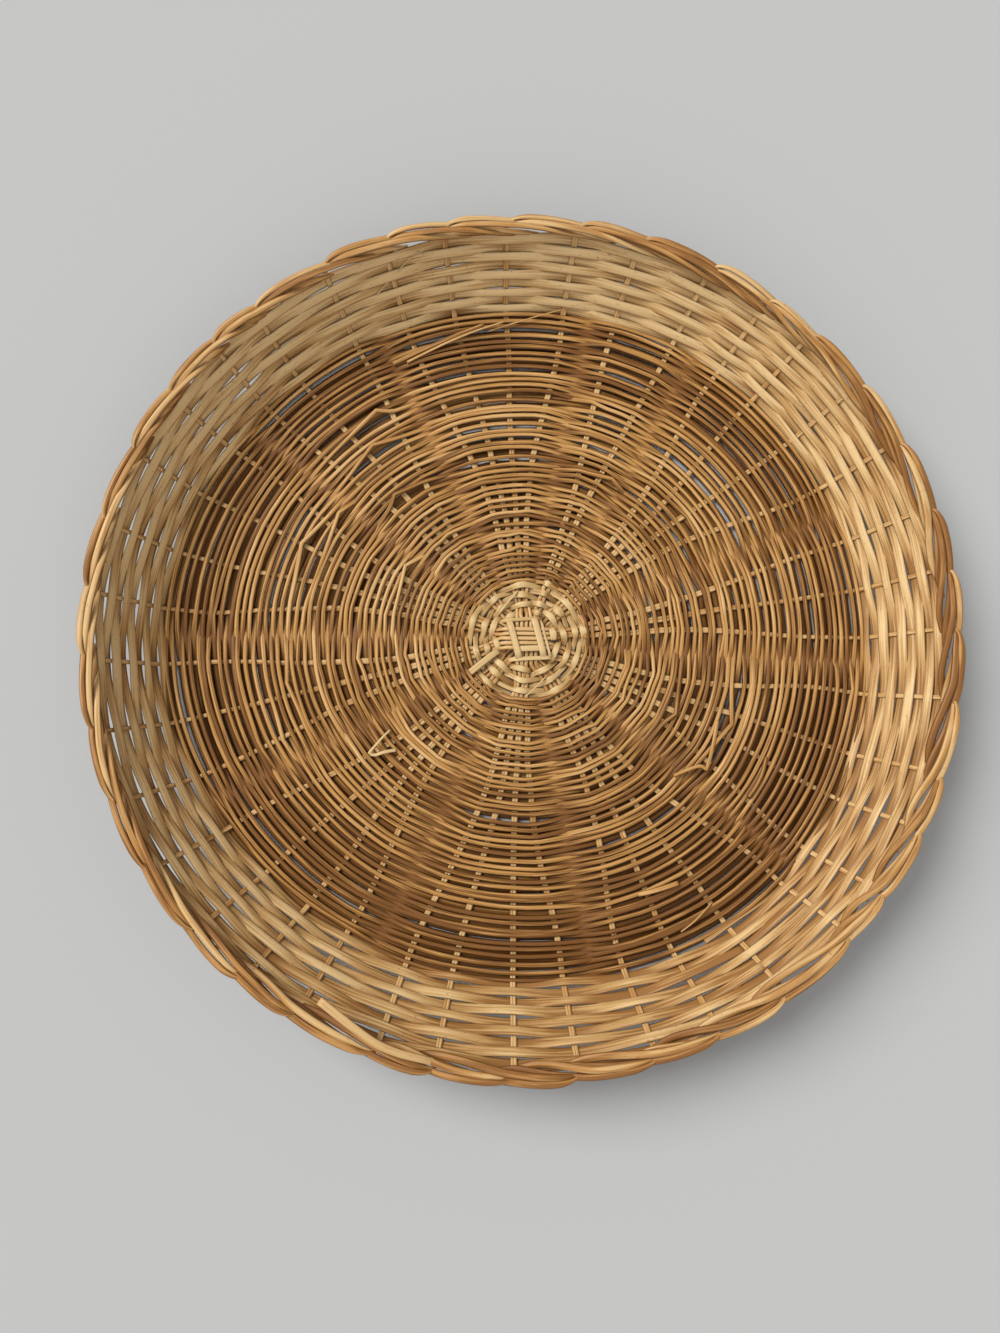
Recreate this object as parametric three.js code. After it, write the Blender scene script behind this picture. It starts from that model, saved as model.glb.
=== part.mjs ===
import * as THREE from 'three';

// A round wicker paper plate holder: a flat woven floor, a low flared wall and a plaited border.
// Twenty long stakes cross at the centre in four stacked sets and run out to thirty-nine ends.
// Each end crosses the floor, climbs the wall, then turns along the rim as one strand of the plait.
// The frame is millimetres with +Z up, and the origin lies under the centre on the resting plane.

// Driving dimensions, in millimetres
const RIM_DIAMETER = 254;
const FLOOR_DIAMETER = 211;
const WALL_RISE = 19.8;
const STAKE_WIDTH = 1.6;
const STAKE_THICKNESS = 1.2;
const BORDER_WIDTH = 2.2;
const BORDER_THICKNESS = 1.4;
const FINE_WIDTH = 2.0;
const FINE_THICKNESS = 1.0;
const WIDE_WIDTH = 2.4;
const WIDE_THICKNESS = 0.9;
const CANE_WIDTH = 1.8;
const CANE_THICKNESS = 0.8;

// Clearances between strands that touch on the real holder
const LAYER_CLEARANCE = 0.2;
const SIDE_CLEARANCE = 0.35;
const CUT_END_GAP = 0.7;

// Counts: the floor reeds pass over and under these groups of stakes, an odd number of groups
const FLOOR_GROUPS = [3, 4, 2, 4, 3, 4, 3, 4, 4, 4, 4];
const FIRST_GROUP_STAKE = 2;
const STAKE_COUNT = FLOOR_GROUPS.reduce((sum, size) => sum + size, 0);
const CROSSING_SETS = 4;
const BUNDLE_COUNT = CROSSING_SETS * 2;
const BUNDLE_SIZE = Math.ceil(STAKE_COUNT / BUNDLE_COUNT);
const FINE_REED_COUNT = 8;
const WIDE_REED_COUNT = 3;
const CANE_COUNT = 2;
const CANE_ROUNDS = 2;
const BINDER_TURNS = 2;
const SQUARE_SIDES = 4;

// Each crossing set's layer, counted from the bottom: the diagonal sets lie lowest, the set along X on top
const LAYER_OF_SET = [3, 0, 2, 1];

// Runs and spacings of the stakes on the floor, in stake widths
const BUNDLE_SPACING = 1.55;
const GATHER_RUN = 8;
const GROUP_SPACING = 1.75;
const FIRST_ROUND_RUN = 2.5;
const PASS_MARGIN = 0.95;

// Length of the ramp at the crossing for each millimetre that it falls
const RAMP_RUN = 0.75;

// Angles
const FULL_TURN = Math.PI * 2;
const STAKE_STEP = FULL_TURN / STAKE_COUNT;
const BUNDLE_STEP = FULL_TURN / BUNDLE_COUNT;
const FIRST_STAKE_ANGLE = -Math.floor(BUNDLE_SIZE / 2) * STAKE_STEP;

// Heights: the floor stakes lie between the reeds under them and the reeds over them
const STAKE_LEVEL = FINE_THICKNESS + LAYER_CLEARANCE + STAKE_THICKNESS / 2;
const LAYER_STEP = STAKE_THICKNESS + LAYER_CLEARANCE;
const WALL_TOP = STAKE_LEVEL + WALL_RISE;
const PLAIT_SEAT = 0.8;
const PLAIT_LEVEL = WALL_TOP + PLAIT_SEAT + BORDER_WIDTH / 2;
const KINK_LEVEL = PLAIT_LEVEL + BORDER_WIDTH + SIDE_CLEARANCE;

// The centre cross: flat sets of parallel rods, ramped down to the floor once they are clear
const ROD_PITCH = STAKE_WIDTH + LAYER_CLEARANCE;
const BUNDLE_MIDDLE = Math.floor(BUNDLE_SIZE / 2);
const CROSS_HALF = BUNDLE_MIDDLE * ROD_PITCH + STAKE_WIDTH / 2;
const CROSS_REACH = CROSS_HALF / Math.tan(BUNDLE_STEP / 2) + STAKE_THICKNESS / 2;
const RAMP_END = CROSS_REACH + LAYER_STEP * CROSSING_SETS * RAMP_RUN;
const CANE_PITCH = CANE_WIDTH + SIDE_CLEARANCE;
const CANE_START = Math.hypot(RAMP_END + CANE_WIDTH / 2 + SIDE_CLEARANCE, CROSS_HALF + STAKE_WIDTH / 2);
const CANE_END = CANE_START + CANE_ROUNDS * CANE_PITCH;
const BUNDLE_END = CANE_END + CANE_WIDTH / 2;
const BUNDLE_PITCH = STAKE_WIDTH * BUNDLE_SPACING;

// The floor: stakes gather into groups at one radius, then fan out evenly to the foot of the wall
const FLOOR_RADIUS = FLOOR_DIAMETER / 2;
const GROUP_RADIUS = BUNDLE_END + STAKE_WIDTH * GATHER_RUN;
const GROUP_PITCH = STAKE_WIDTH * GROUP_SPACING;
const FOOT_MARGIN = 1.6;
const FINE_PITCH = FINE_WIDTH + SIDE_CLEARANCE;
const FINE_START = BUNDLE_END + STAKE_WIDTH * FIRST_ROUND_RUN;
const FINE_END = FLOOR_RADIUS - FOOT_MARGIN - FINE_WIDTH / 2;
const FINE_OFFSET = (STAKE_THICKNESS + FINE_THICKNESS) / 2 + LAYER_CLEARANCE;
const FINE_MARGIN = STAKE_WIDTH * PASS_MARGIN;

// The plait and the wall, from the rim inwards
const PLAIT_PASS = (STAKE_THICKNESS + BORDER_THICKNESS) / 2 + SIDE_CLEARANCE;
const PLAIT_SWING = PLAIT_PASS + BORDER_THICKNESS;
const CORE_RADIUS = RIM_DIAMETER / 2 - PLAIT_SWING - BORDER_THICKNESS / 2;
const WALL_RUN = CORE_RADIUS - FLOOR_RADIUS;
const WALL_SLANT = Math.hypot(WALL_RUN, WALL_RISE);
const WIDE_PITCH = WIDE_WIDTH + SIDE_CLEARANCE;
const WIDE_OFFSET = (STAKE_THICKNESS + WIDE_THICKNESS) / 2 + SIDE_CLEARANCE;
const WIDE_START = FOOT_MARGIN + WIDE_WIDTH / 2;
const WIDE_END = WALL_SLANT - PLAIT_SEAT - WIDE_WIDTH / 2;

const stakeWood = new THREE.MeshStandardMaterial({ color: 0xc59a5c, roughness: 0.6, metalness: 0 });
const fineReed = new THREE.MeshStandardMaterial({ color: 0xa97438, roughness: 0.55, metalness: 0 });
const wideReed = new THREE.MeshStandardMaterial({ color: 0xcda56a, roughness: 0.6, metalness: 0 });
const paleCane = new THREE.MeshStandardMaterial({ color: 0xd9ba80, roughness: 0.55, metalness: 0 });

// A strand's route: stations with a place, the face direction of the flat side, and a half section.
// The section stays flat on the weave, because its frame follows the face direction at each station.
class StrandPath extends THREE.Curve {
  constructor(stations) {
    super();
    this.stations = stations;
  }

  getSpacedPoints() {
    return this.stations.map((station) => station.place);
  }

  computeFrenetFrames() {
    const last = this.stations.length - 1;
    const tangents = this.stations.map((station, i) => {
      const before = this.stations[Math.max(i - 1, 0)].place;
      const after = this.stations[Math.min(i + 1, last)].place;
      const arriving = station.place.clone().sub(before).normalize();
      const leaving = after.clone().sub(station.place).normalize();
      return arriving.add(leaving).normalize();
    });
    const normals = this.stations.map((station, i) => {
      const side = station.face.clone().cross(tangents[i]).normalize();
      return side.multiplyScalar(station.width / 2);
    });
    const binormals = this.stations.map((station) => {
      return station.face.clone().multiplyScalar(station.thickness / 2);
    });
    return { tangents, normals, binormals };
  }
}

// The section is a unit square, scaled at each station to the strand's width and thickness.
const section = new THREE.Shape([
  new THREE.Vector2(-1, -1),
  new THREE.Vector2(1, -1),
  new THREE.Vector2(1, 1),
  new THREE.Vector2(-1, 1),
]);

function strandMesh(name, stations, material) {
  const settings = {
    steps: stations.length - 1,
    bevelEnabled: false,
    extrudePath: new StrandPath(stations),
  };
  const mesh = new THREE.Mesh(new THREE.ExtrudeGeometry(section, settings), material);
  mesh.name = name;
  return mesh;
}

function polar(radius, angle, height) {
  return new THREE.Vector3(radius * Math.cos(angle), radius * Math.sin(angle), height);
}

function numbered(stem, index) {
  return `${stem}_${String(index + 1).padStart(2, '0')}`;
}

const UPWARDS = new THREE.Vector3(0, 0, 1);

// Stakes

function evenAngle(stake) {
  return FIRST_STAKE_ANGLE + stake * STAKE_STEP;
}

// A stake's bundle at the centre, and its place in the bundle counted from the middle rod.
function bundleOf(stake) {
  const bundle = Math.floor(stake / BUNDLE_SIZE);
  const place = stake - bundle * BUNDLE_SIZE - BUNDLE_MIDDLE;
  return { bundle, place };
}

function bundlePoint(stake, along, pitch, height) {
  const { bundle, place } = bundleOf(stake);
  const point = new THREE.Vector3(along, place * pitch, height);
  return point.applyAxisAngle(UPWARDS, bundle * BUNDLE_STEP);
}

function layerLevel(bundle) {
  return STAKE_THICKNESS / 2 + LAYER_OF_SET[bundle % CROSSING_SETS] * LAYER_STEP;
}

// Groups are counted round from the first group's first stake; numbers run on past one turn.
const groupStarts = FLOOR_GROUPS.map((_, group) => {
  return FLOOR_GROUPS.slice(0, group).reduce((sum, size) => sum + size, FIRST_GROUP_STAKE);
});

function groupOf(stake) {
  const counted = stake < FIRST_GROUP_STAKE ? stake + STAKE_COUNT : stake;
  const group = groupStarts.findLastIndex((start) => start <= counted);
  return { first: groupStarts[group], size: FLOOR_GROUPS[group], counted };
}

function groupAngle(stake) {
  const { first, size, counted } = groupOf(stake);
  const middle = first + (size - 1) / 2;
  const turnBack = counted === stake ? 0 : FULL_TURN;
  return evenAngle(middle) + ((counted - middle) * GROUP_PITCH) / GROUP_RADIUS - turnBack;
}

// Where a stake lies on the floor: out of its bundle, into its group, then fanned to the wall's foot.
function floorRoute(stake) {
  return [
    bundlePoint(stake, BUNDLE_END, BUNDLE_PITCH, STAKE_LEVEL),
    polar(GROUP_RADIUS, groupAngle(stake), STAKE_LEVEL),
    polar(FLOOR_RADIUS, evenAngle(stake), STAKE_LEVEL),
  ];
}

// The angle at which a stake's straight run crosses a circle, kept near the stake's even angle.
function stakeAngleAt(stake, radius) {
  const [bundleEnd, gathered, foot] = floorRoute(stake);
  const [from, to] = radius < GROUP_RADIUS ? [bundleEnd, gathered] : [gathered, foot];
  const start = new THREE.Vector2(from.x, from.y);
  const run = new THREE.Vector2(to.x - from.x, to.y - from.y);
  const half = start.dot(run);
  const beyond = radius ** 2 - start.lengthSq();
  const share = (Math.sqrt(half ** 2 + run.lengthSq() * beyond) - half) / run.lengthSq();
  const crossing = start.addScaledVector(run, share);
  const angle = Math.atan2(crossing.y, crossing.x);
  return angle + FULL_TURN * Math.round((evenAngle(stake) - angle) / FULL_TURN);
}

// The plait, for one stake end: pitches travelled clockwise, distance outside the core, and height.
// It kinks over the rim, passes outside the next stake and inside the one after, and ends there.
// The kink and the tucked tip lie at these shares of the pass, and the shoulder at this share of the swing.
// A strand has its full border section after the growth stations.
const KINK_SHARE = 0.7;
const TUCK_SHARE = 1.05;
const SHOULDER_SHARE = 0.97;
const GROWTH_STATIONS = 2;
const PLAIT_ROUTE = [
  { pitches: 0, outward: 0, height: KINK_LEVEL - BORDER_WIDTH / 2 },
  { pitches: 0.06, outward: PLAIT_PASS * KINK_SHARE, height: KINK_LEVEL },
  { pitches: 0.3, outward: PLAIT_SWING * SHOULDER_SHARE, height: KINK_LEVEL - SIDE_CLEARANCE / 2 },
  { pitches: 0.6, outward: PLAIT_SWING, height: (KINK_LEVEL + PLAIT_LEVEL) / 2 },
  { pitches: 1, outward: PLAIT_PASS, height: PLAIT_LEVEL },
  { pitches: 1.5, outward: 0, height: PLAIT_LEVEL + SIDE_CLEARANCE / 2 },
  { pitches: 2, outward: -PLAIT_PASS, height: PLAIT_LEVEL },
  { pitches: 2.35, outward: -PLAIT_PASS * TUCK_SHARE, height: PLAIT_LEVEL - SIDE_CLEARANCE / 2 },
];

function stakeStation(place, face) {
  return { place, face, width: STAKE_WIDTH, thickness: STAKE_THICKNESS };
}

// One end of a stake, from the centre cross out to the tip of its border strand.
function stakeEnd(stake) {
  const { bundle } = bundleOf(stake);
  const rampPitch = THREE.MathUtils.mapLinear(RAMP_END, CROSS_REACH, BUNDLE_END, ROD_PITCH, BUNDLE_PITCH);
  const inwards = polar(-1, evenAngle(stake), 0);
  const wallFace = inwards.clone().multiplyScalar(WALL_RISE).addScaledVector(UPWARDS, WALL_RUN).normalize();
  const footFace = wallFace.clone().add(UPWARDS).normalize();
  const topFace = wallFace.clone().add(inwards).normalize();
  const [bundleEnd, gathered, foot] = floorRoute(stake);
  const stations = [
    stakeStation(bundlePoint(stake, CROSS_REACH, ROD_PITCH, layerLevel(bundle)), UPWARDS),
    stakeStation(bundlePoint(stake, RAMP_END, rampPitch, STAKE_LEVEL), UPWARDS),
    stakeStation(bundleEnd, UPWARDS),
    stakeStation(gathered, UPWARDS),
    stakeStation(foot, footFace),
    stakeStation(polar(CORE_RADIUS, evenAngle(stake), WALL_TOP), topFace),
  ];
  PLAIT_ROUTE.forEach(({ pitches, outward, height }, i) => {
    const angle = evenAngle(stake) - pitches * STAKE_STEP;
    const place = polar(CORE_RADIUS + outward, angle, height);
    const face = polar(-1, angle, 0);
    const growth = Math.min(i / GROWTH_STATIONS, 1);
    const width = THREE.MathUtils.lerp(STAKE_WIDTH, BORDER_WIDTH, growth);
    const thickness = THREE.MathUtils.lerp(STAKE_THICKNESS, BORDER_THICKNESS, growth);
    stations.push({ place, face, width, thickness });
  });
  return stations;
}

// A whole rod joins two opposite ends. The odd one stops just past the centre, so the count is odd.
function buildStakes() {
  const stakes = new THREE.Group();
  const rods = CROSSING_SETS * BUNDLE_SIZE;
  for (let rod = 0; rod < rods; rod += 1) {
    const { bundle, place } = bundleOf(rod);
    const opposite = (bundle + CROSSING_SETS) * BUNDLE_SIZE + BUNDLE_MIDDLE - place;
    const near = stakeEnd(rod);
    const stub = stakeStation(bundlePoint(rod, -CROSS_REACH, ROD_PITCH, layerLevel(bundle)), UPWARDS);
    const far = opposite < STAKE_COUNT ? stakeEnd(opposite) : [stub];
    stakes.add(strandMesh(numbered('stake', rod), far.reverse().concat(near), stakeWood));
  }
  return stakes;
}

// Centre binding

// Flat cane laid twice round the middle of the cross: over the top set, then down onto the next set.
function buildBinder() {
  const topRods = layerLevel(0) + STAKE_THICKNESS / 2;
  const nextRods = layerLevel(2) + STAKE_THICKNESS / 2;
  const lift = LAYER_CLEARANCE + CANE_THICKNESS / 2;
  const halfSide = CROSS_HALF + SIDE_CLEARANCE;
  const firstReach = halfSide + SIDE_CLEARANCE + CANE_WIDTH / 2;
  const stations = [];
  const lastSide = BINDER_TURNS * SQUARE_SIDES;
  for (let side = 0; side <= lastSide; side += 1) {
    const reach = firstReach + (side / SQUARE_SIDES) * CANE_PITCH;
    const height = (side % 2 === 0 ? topRods : nextRods) + lift;
    const turned = (side * FULL_TURN) / SQUARE_SIDES;
    const ends = [-halfSide, side === lastSide ? -halfSide / 2 : halfSide];
    ends.forEach((across) => {
      const place = new THREE.Vector3(reach, across, height).applyAxisAngle(UPWARDS, turned);
      stations.push({ place, face: UPWARDS, width: CANE_WIDTH, thickness: CANE_THICKNESS });
    });
  }
  return strandMesh('centre_binder', stations, paleCane);
}

// Two canes chase each other round the eight bundles, one over where the other is under.
function buildCanes() {
  const canes = new THREE.Group();
  const offset = (STAKE_THICKNESS + CANE_THICKNESS) / 2 + LAYER_CLEARANCE;
  const passes = Math.round((CANE_ROUNDS * BUNDLE_COUNT) / CANE_COUNT);
  for (let cane = 0; cane < CANE_COUNT; cane += 1) {
    const stations = [];
    for (let pass = 0; pass < passes; pass += 1) {
      const height = STAKE_LEVEL + (pass % 2 === cane ? offset : -offset);
      [-1, 1].forEach((edge) => {
        const turns = (pass + (edge + 1) / 4) / BUNDLE_COUNT;
        const radius = CANE_START + CANE_PITCH * CANE_COUNT * turns;
        const pitch = THREE.MathUtils.mapLinear(radius, CROSS_REACH, BUNDLE_END, ROD_PITCH, BUNDLE_PITCH);
        const reach = BUNDLE_MIDDLE * pitch + STAKE_WIDTH / 2 + LAYER_CLEARANCE;
        const middle = pass * BUNDLE_STEP + (cane * FULL_TURN) / CANE_COUNT;
        const place = polar(radius, middle + edge * Math.asin(reach / radius), height);
        stations.push({ place, face: UPWARDS, width: CANE_WIDTH, thickness: CANE_THICKNESS });
      });
    }
    canes.add(strandMesh(numbered('centre_cane', cane), stations, paleCane));
  }
  return canes;
}

// Floor weave

// One pass of the floor spiral: the reed lies over or under a whole group, at a growing radius.
function finePass(pass) {
  const group = pass % FLOOR_GROUPS.length;
  const round = Math.floor(pass / FLOOR_GROUPS.length);
  const first = groupStarts[group];
  const last = first + FLOOR_GROUPS[group] - 1;
  const turned = round * FULL_TURN;
  const startTurn = evenAngle(FIRST_GROUP_STAKE);
  const radiusAt = (angle) => FINE_START + (FINE_PITCH * (angle + turned - startTurn)) / FULL_TURN;
  const edgeAngle = (stake, way) => {
    const radius = radiusAt(evenAngle(stake));
    const angle = stakeAngleAt(stake % STAKE_COUNT, radius) + FULL_TURN * Math.floor(stake / STAKE_COUNT);
    return angle + (way * FINE_MARGIN) / radius;
  };
  const start = edgeAngle(first, -1);
  const end = edgeAngle(last, 1);
  const height = STAKE_LEVEL + (pass % 2 === 0 ? FINE_OFFSET : -FINE_OFFSET);
  return { start, end, radiusAt, height };
}

function fineStation({ radiusAt, height }, angle) {
  const place = polar(radiusAt(angle), angle, height);
  return { place, face: UPWARDS, width: FINE_WIDTH, thickness: FINE_THICKNESS };
}

// The spiral is worked in lengths of reed. Each length is cut under a group, where the next begins.
function buildFineReeds() {
  const reeds = new THREE.Group();
  const rounds = (FINE_END - FINE_START) / FINE_PITCH;
  const passes = Math.floor(rounds * FLOOR_GROUPS.length);
  const cutPass = (reed) => 2 * Math.round((reed * (passes - 2)) / (2 * FINE_REED_COUNT)) + 1;
  for (let reed = 0; reed < FINE_REED_COUNT; reed += 1) {
    const stations = [];
    for (let pass = cutPass(reed); pass <= cutPass(reed + 1); pass += 1) {
      const run = finePass(pass);
      const middle = (run.start + run.end) / 2;
      const halfGap = CUT_END_GAP / 2 / run.radiusAt(middle);
      const curved = run.radiusAt(middle) > FLOOR_RADIUS / 2;
      const opens = pass === cutPass(reed);
      const closes = pass === cutPass(reed + 1);
      if (!opens) stations.push(fineStation(run, run.start));
      if (opens) stations.push(fineStation(run, middle + halfGap));
      else if (closes) stations.push(fineStation(run, middle - halfGap));
      else if (curved) stations.push(fineStation(run, middle));
      if (!closes) stations.push(fineStation(run, run.end));
    }
    reeds.add(strandMesh(numbered('fine_reed', reed), stations, fineReed));
  }
  return reeds;
}

// Wall weave

// Wide flat reed over one stake and under the next, climbing the slant of the wall as a spiral.
function wideStation(count) {
  const angle = evenAngle(count);
  const climbed = WIDE_START + (WIDE_PITCH * count) / STAKE_COUNT;
  const nearest = Math.round(count);
  const swing = 1 - 2 * Math.abs(count - nearest);
  const offset = WIDE_OFFSET * swing * (nearest % 2 === 0 ? -1 : 1);
  const radius = FLOOR_RADIUS + (climbed * WALL_RUN - offset * WALL_RISE) / WALL_SLANT;
  const height = STAKE_LEVEL + (climbed * WALL_RISE + offset * WALL_RUN) / WALL_SLANT;
  const face = polar(-WALL_RISE, angle, WALL_RUN).normalize();
  return { place: polar(radius, angle, height), face, width: WIDE_WIDTH, thickness: WIDE_THICKNESS };
}

function buildWideReeds() {
  const reeds = new THREE.Group();
  const crossings = Math.floor(((WIDE_END - WIDE_START) / WIDE_PITCH) * STAKE_COUNT);
  const cutAt = (reed) => 2 * Math.round((reed * crossings) / (2 * WIDE_REED_COUNT));
  const halfGap = CUT_END_GAP / 2 / (FLOOR_RADIUS * STAKE_STEP);
  for (let reed = 0; reed < WIDE_REED_COUNT; reed += 1) {
    const stations = [wideStation(cutAt(reed) + halfGap)];
    for (let count = cutAt(reed) + 1; count < cutAt(reed + 1); count += 1) {
      stations.push(wideStation(count));
    }
    stations.push(wideStation(cutAt(reed + 1) - halfGap));
    reeds.add(strandMesh(numbered('wide_reed', reed), stations, wideReed));
  }
  return reeds;
}

const plateHolder = new THREE.Group();
plateHolder.add(buildStakes(), buildBinder(), buildCanes(), buildFineReeds(), buildWideReeds());

export default plateHolder;
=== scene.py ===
import math
import random

import bmesh
import bpy
import numpy
from mathutils import Matrix, Vector


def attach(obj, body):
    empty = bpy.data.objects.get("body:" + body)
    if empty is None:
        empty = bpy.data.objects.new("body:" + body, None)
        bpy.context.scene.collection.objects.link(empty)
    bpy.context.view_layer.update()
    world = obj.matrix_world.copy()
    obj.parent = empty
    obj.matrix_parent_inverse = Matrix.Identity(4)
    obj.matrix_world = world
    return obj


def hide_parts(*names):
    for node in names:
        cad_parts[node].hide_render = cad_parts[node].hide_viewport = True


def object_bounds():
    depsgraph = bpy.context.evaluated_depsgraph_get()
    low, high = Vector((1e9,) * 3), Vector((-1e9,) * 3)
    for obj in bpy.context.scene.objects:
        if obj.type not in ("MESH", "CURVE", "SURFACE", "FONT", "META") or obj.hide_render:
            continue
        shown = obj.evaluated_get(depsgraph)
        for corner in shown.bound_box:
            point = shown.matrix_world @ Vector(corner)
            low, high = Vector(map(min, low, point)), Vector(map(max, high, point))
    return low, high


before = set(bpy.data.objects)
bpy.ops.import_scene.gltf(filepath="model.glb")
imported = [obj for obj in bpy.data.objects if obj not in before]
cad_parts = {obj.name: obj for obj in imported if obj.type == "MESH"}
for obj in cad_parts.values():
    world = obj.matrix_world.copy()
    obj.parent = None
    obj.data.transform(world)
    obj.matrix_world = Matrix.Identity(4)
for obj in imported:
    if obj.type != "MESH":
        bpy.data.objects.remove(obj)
cad_low, cad_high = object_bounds()


# Stakes
# Twenty long stakes, each a pair of thin peeled reeds, cross at the centre in four stacked sets.
# They run out over the floor, bend up at its edge, climb the wall and hook over the rim. In the border
# one reed of the pair runs on along the outside and the other crosses to the inside, and both are tucked in.

STAKE_ENDS = 39
STAKE_STEP = math.tau / STAKE_ENDS
BUNDLE_SIZE = 5
BUNDLE_STEP = math.tau / 8
AXIS_STAKE = BUNDLE_SIZE // 2
STAKE_REED = 0.00098
STAKE_LEVEL = 0.0017
LAYER_BASE = 0.00067
LAYER_STEP = 0.00115
LAYER_ORDER = (3, 0, 2, 1)
ROD_PITCH = 0.00145
CROSS_REACH = 0.0060
CROSS_SIZE = 1.2
RAMP_END = 0.0115
GROUP_START = 0.0065
GROUP_END = 0.0135
GROUP_SPREAD = 0.085
GROUP_SIZE = 1.18
FLOOR_GROUPS = (3, 4, 2, 4, 3, 4, 3, 4, 4, 4, 4)
FIRST_GROUP_STAKE = 2
FAN_START = 0.033
FAN_END = 0.100
STAKE_WANDER = 0.00016
STAKE_LEAN = 0.012
# The two reeds of a pair part on the floor, by shares of a reed's width, and at the left and the right
# they close up again further out
PAIR_CLOSED = 0.013
PAIR_OPEN = 0.027
PAIR_GAP = 0.0612
PAIR_OPENING = 0.3366
CLOSING_START = 0.05
CLOSING_RUN = 0.03
CLOSING_SHARE = 0.7
CLOSED_SIZE = 1.05
OPEN_SIZE = 1.2
OPEN_FLATNESS = 0.8
# The floor's edge is not quite round: its radius in millimetres at every eighth of a turn
FOOT_RADII = (107.1, 108.5, 107.6, 108.9, 110.8, 105.4, 102.4, 107.0)
FOOT_INSET = 0.0018
FOOT_LIFT = 0.0001
FOOT_FLATNESS = 0.9
BORDER_DEPTH = 0.0027
CORE_RADIUS = cad_high.x - BORDER_DEPTH
WALL_TOP = 0.0216
WALL_RISE = WALL_TOP - STAKE_LEVEL
RIM_OVAL = 0.0006
RIM_SHIFT = -0.0005
FLATTEST_RIM = math.radians(-40)
PALEST_RIM = math.radians(135)
WALL_SIZE = 1.05
WALL_FLATNESS = 0.65
BORDER_GROWTH = 1.0
BORDER_BREADTH = 0.3
BORDER_FLATNESS = 0.5
GROWN_AFTER = 0.4
TUCK_START = 0.5
TUCK_RUN = 0.9
TUCK_DEPTH = 0.05
TUCK_SWAY = 0.4
TUCK_SINK = 0.9

stake_chance = random.Random(11)
stake_lean = [stake_chance.gauss(0, STAKE_LEAN) for _ in range(STAKE_ENDS)]


def polar(radius, angle, height):
    return Vector((radius * math.cos(angle), radius * math.sin(angle), height))


def eased(share):
    share = min(max(share, 0.0), 1.0)
    return share * share * (3 - 2 * share)


def rim_radius(angle):
    """The slightly oval line of the stake tops."""
    return CORE_RADIUS + RIM_SHIFT * math.cos(angle) + RIM_OVAL * math.cos(2 * angle)


def foot_radius(angle):
    """The line where the floor bends up into the wall, drawn smoothly through its eight radii."""
    eighth, share = divmod(angle / math.tau * len(FOOT_RADII), 1.0)
    before, here, there, beyond = (FOOT_RADII[(int(eighth) + i) % len(FOOT_RADII)] for i in (-1, 0, 1, 2))
    leaving = share * (1 - share) ** 2 * (there - before) / 2
    arriving = share ** 2 * (share - 1) * (beyond - here) / 2
    return (here + (there - here) * eased(share) + leaving + arriving) * 0.001


def rim_angle(count):
    """The angle of a stake end at the wall, or of a place between two ends."""
    low = math.floor(count)
    share = count - low
    before = (low - AXIS_STAKE) * STAKE_STEP + stake_lean[low % STAKE_ENDS]
    after = (low + 1 - AXIS_STAKE) * STAKE_STEP + stake_lean[(low + 1) % STAKE_ENDS]
    return before * (1 - share) + after * share


group_starts = [FIRST_GROUP_STAKE + sum(FLOOR_GROUPS[:i]) for i in range(len(FLOOR_GROUPS))]


def group_angle(stake):
    """The angle of a stake where the stakes are gathered in their floor groups."""
    counted = stake if stake >= FIRST_GROUP_STAKE else stake + STAKE_ENDS
    group = max(i for i, start in enumerate(group_starts) if start <= counted)
    middle = group_starts[group] + (FLOOR_GROUPS[group] - 1) / 2
    turned = math.tau if counted != stake else 0.0
    return (middle - AXIS_STAKE) * STAKE_STEP + (counted - middle) * GROUP_SPREAD - turned


def bundle_place(stake):
    bundle, place = divmod(stake, BUNDLE_SIZE)
    return bundle, place - BUNDLE_SIZE // 2


def floor_angle(stake, radius):
    """The angle of a stake on the floor: out of its set, into its group, then fanned evenly."""
    bundle, place = bundle_place(stake)
    angle = bundle * BUNDLE_STEP + math.asin(place * ROD_PITCH / max(radius, CROSS_REACH))
    gather = eased((radius - GROUP_START) / (GROUP_END - GROUP_START))
    fan = eased((radius - FAN_START) / (FAN_END - FAN_START))
    angle += (group_angle(stake) - angle) * gather
    return angle + (rim_angle(stake) - angle) * fan


def stake_level(stake, radius):
    """The height of a stake as it ramps from its layer of the crossing down to the floor."""
    layer = LAYER_BASE + LAYER_ORDER[bundle_place(stake)[0] % 4] * LAYER_STEP
    return layer + (STAKE_LEVEL - layer) * eased((radius - CROSS_REACH) / (RAMP_END - CROSS_REACH))


# Border stations of both reeds of a pair: pitches travelled clockwise, millimetres outside the core, height
OUTER_PLAIT = (
    (0.00, 0.3, 22.2), (0.01, 0.7, 23.0), (0.05, 1.2, 23.9), (0.14, 1.7, 24.7), (0.32, 2.0, 24.9),
    (0.60, 2.0, 24.6), (0.90, 1.7, 24.1), (1.20, 1.1, 23.5), (1.50, 0.4, 23.0), (1.80, -0.4, 22.5),
    (2.05, -0.8, 21.8), (2.25, -0.5, 20.8), (2.40, 0.2, 19.6),
)
INNER_PLAIT = (
    (0.00, 0.3, 22.2), (0.015, 0.7, 22.9), (0.06, 0.9, 23.5), (0.15, 0.9, 24.0), (0.32, 0.6, 24.6),
    (0.55, 0.2, 24.9), (0.80, -0.3, 25.1), (1.05, -0.9, 24.9), (1.30, -1.5, 24.4), (1.55, -1.9, 23.4),
    (1.80, -1.8, 22.2), (2.00, -1.1, 21.0), (2.15, -0.2, 19.6),
)
FLOOR_STATIONS = (0.0080, 0.0098, 0.0120, 0.0150, 0.0190, 0.0235, 0.0290, 0.0360, 0.0460, 0.0580,
                  0.0720, 0.0860, 0.0960)
WALL_STATIONS = (0.07, 0.32, 0.6, 0.86, 1.0)


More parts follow.
